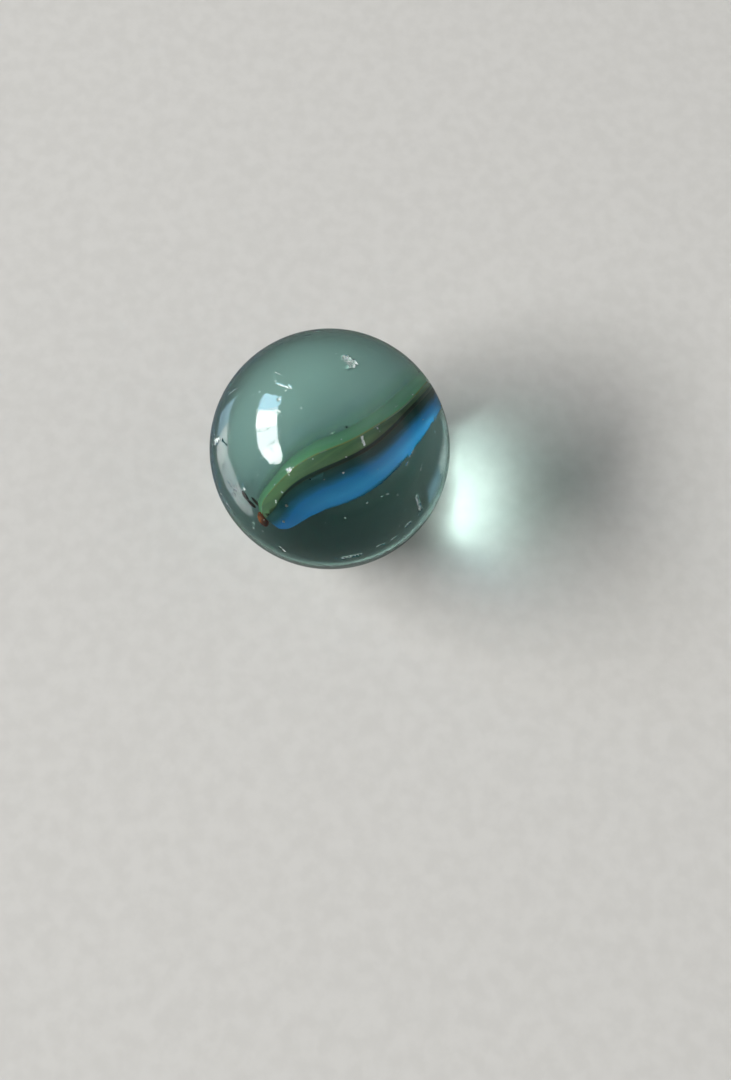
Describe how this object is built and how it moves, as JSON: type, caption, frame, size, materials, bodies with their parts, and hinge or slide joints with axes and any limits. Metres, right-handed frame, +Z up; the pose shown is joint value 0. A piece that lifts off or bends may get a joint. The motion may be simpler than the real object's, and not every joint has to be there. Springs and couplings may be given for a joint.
{
  "type": "glass marble",
  "caption": "Round aqua-green glass marble with a curved vane of olive-green and blue glass fused inside and small chips in its surface.",
  "frame": {"origin": "centre of the ball", "axes": "+Z up as the ball lies in the picture, with the vane's foot towards -X and -Y, +Y away from the viewer"},
  "size_m": [0.016, 0.016, 0.016],
  "materials": {
    "clear_glass": "clear aqua-green, polished, chipped and lightly scratched",
    "green_glass": "opaque olive green",
    "blue_glass": "opaque bright blue",
    "haze_glass": "clear green, thinning to nothing",
    "brown_glass": "opaque red-brown"
  },
  "bodies": {
    "root": {"glass_ball": "clear_glass", "green_vane": "green_glass", "blue_vane": "blue_glass", "green_haze": "haze_glass", "brown_speck": "brown_glass"}
  },
  "joints": []
}
